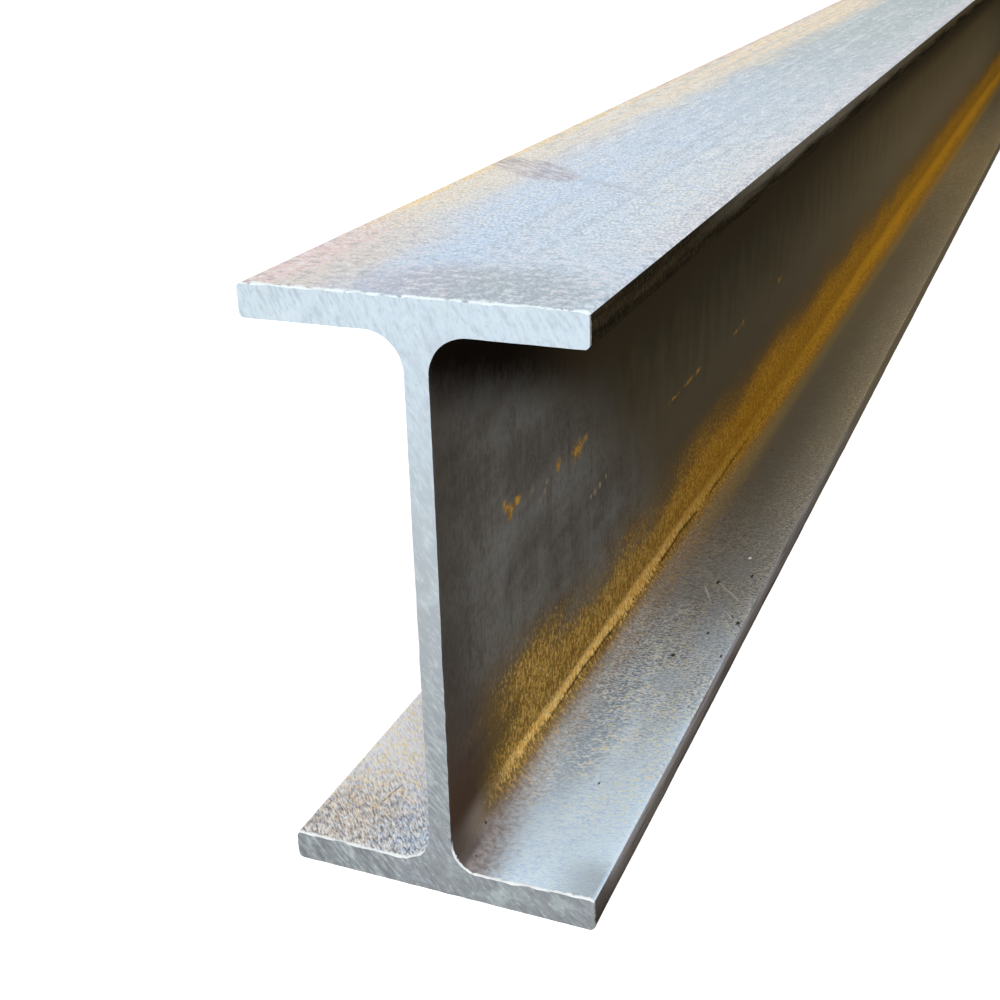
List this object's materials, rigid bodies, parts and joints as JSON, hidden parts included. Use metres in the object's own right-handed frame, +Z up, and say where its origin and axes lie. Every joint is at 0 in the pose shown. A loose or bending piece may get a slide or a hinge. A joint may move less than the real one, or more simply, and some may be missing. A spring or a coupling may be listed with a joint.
{
  "type": "steel i-beam",
  "caption": "Hot-rolled steel I-beam with parallel flanges and rounded web roots, sawn square at both ends.",
  "frame": {"origin": "on the underside of the lower flange, midway along the beam and under the middle of the web", "axes": "+Z up along the web, +Y along the beam, +X across the flanges; the cut end that the picture shows faces -Y"},
  "size_m": [0.064, 1.5, 0.12],
  "materials": {
    "rolled_steel": "hot-rolled mill scale, blue grey on the flanges and dark on the web, with orange rust along the web root, pits and scratches, and bright saw-cut ends"
  },
  "bodies": {
    "root": {"i_beam": "rolled_steel"}
  },
  "joints": []
}
